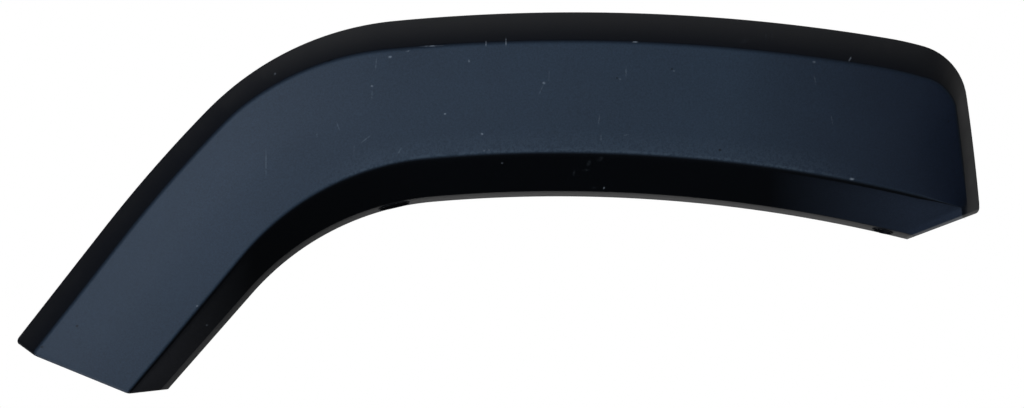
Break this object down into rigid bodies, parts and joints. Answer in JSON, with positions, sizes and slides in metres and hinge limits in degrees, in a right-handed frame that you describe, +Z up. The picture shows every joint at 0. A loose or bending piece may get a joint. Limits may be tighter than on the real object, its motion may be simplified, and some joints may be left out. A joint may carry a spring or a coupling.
{
  "type": "wheel arch flare",
  "caption": "Hollow plastic flare that covers the edge of a rear wheel arch, with sunk screw seats, clip houses and push-in clips.",
  "frame": {"origin": "on the body plane, on the axis of the round locating pin above the wheel", "axes": "+X to the rear along the car, +Y inboard into the body, +Z up"},
  "size_m": [0.916, 0.0985, 0.3627],
  "materials": {
    "arch_moulding": "fine moulded grain, blue-black",
    "retaining_clips": "natural nylon"
  },
  "bodies": {
    "root": {"arch_moulding": "arch_moulding", "retaining_clips": "retaining_clips"}
  },
  "joints": []
}
